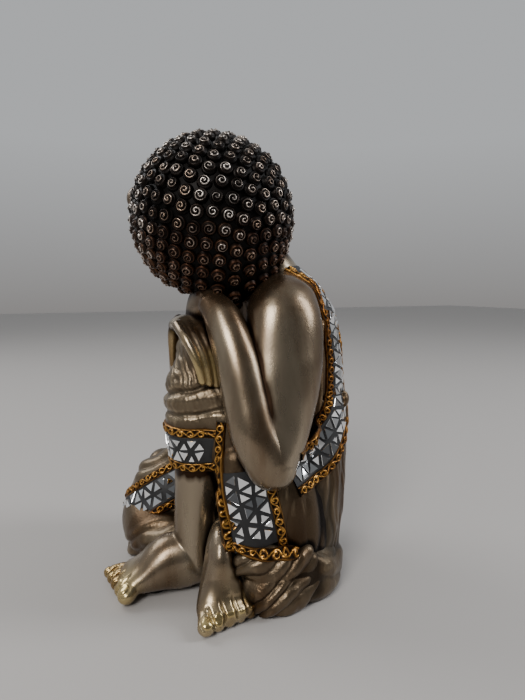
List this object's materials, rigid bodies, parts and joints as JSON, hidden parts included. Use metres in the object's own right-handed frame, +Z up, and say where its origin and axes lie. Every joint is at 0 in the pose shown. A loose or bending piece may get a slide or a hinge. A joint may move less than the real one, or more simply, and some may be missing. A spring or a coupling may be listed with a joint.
{
  "type": "seated figure statue",
  "caption": "Seated robed figure resting its curl-covered head on hands folded over one raised knee, with mirror-mosaic bands and gold scroll trims.",
  "frame": {"origin": "centre of the underside of the object's box, on the surface that the felt pads stand on", "axes": "+Z up, -Y the way the figure sits facing, +X the figure's left"},
  "size_m": [0.1299, 0.1335, 0.2317],
  "materials": {
    "skin_paint": "satin champagne-silver metallic paint, worn to warm gold on the ridges",
    "cloth_paint": "dark bronze metallic paint, dry-brushed silver on the folds",
    "hair_paint": "near-black brown, dry-brushed silver on the curls",
    "gold_trim": "antique orange-gold over a dark wash",
    "dark_bed": "dark grey-black adhesive grout",
    "mirror_chip": "silvered glass",
    "dowel": "plain steel rod",
    "felt": "pressed felt"
  },
  "bodies": {
    "root": {"torso": "skin_paint", "robe": "cloth_paint", "hip_cloth": "cloth_paint", "seat_fold": "cloth_paint", "side_drapery": "cloth_paint", "raised_knee_cloth": "cloth_paint", "flat_leg_cloth": "cloth_paint", "raised_leg": "skin_paint", "second_foot": "skin_paint", "left_arm": "skin_paint", "left_hand": "skin_paint", "right_arm": "skin_paint", "right_hand": "skin_paint", "head": "skin_paint", "hair_cap": "hair_paint", "crown_knob": "hair_paint", "knee_cuff_bed": "dark_bed", "knee_cuff_trims": "gold_trim", "knee_cuff_mirrors": "mirror_chip", "leg_cuff_bed": "dark_bed", "leg_cuff_trims": "gold_trim", "leg_cuff_mirrors": "mirror_chip", "sash_bed": "dark_bed", "sash_outer_trim": "gold_trim", "sash_inner_trim": "gold_trim", "sash_mirrors": "mirror_chip", "sash_knot": "cloth_paint", "apron_bed": "dark_bed", "apron_trim": "gold_trim", "apron_mirrors": "mirror_chip", "neck_dowel": "dowel", "arm_dowels": "dowel", "foot_dowels": "dowel", "felt_pads": "felt"}
  },
  "joints": []
}
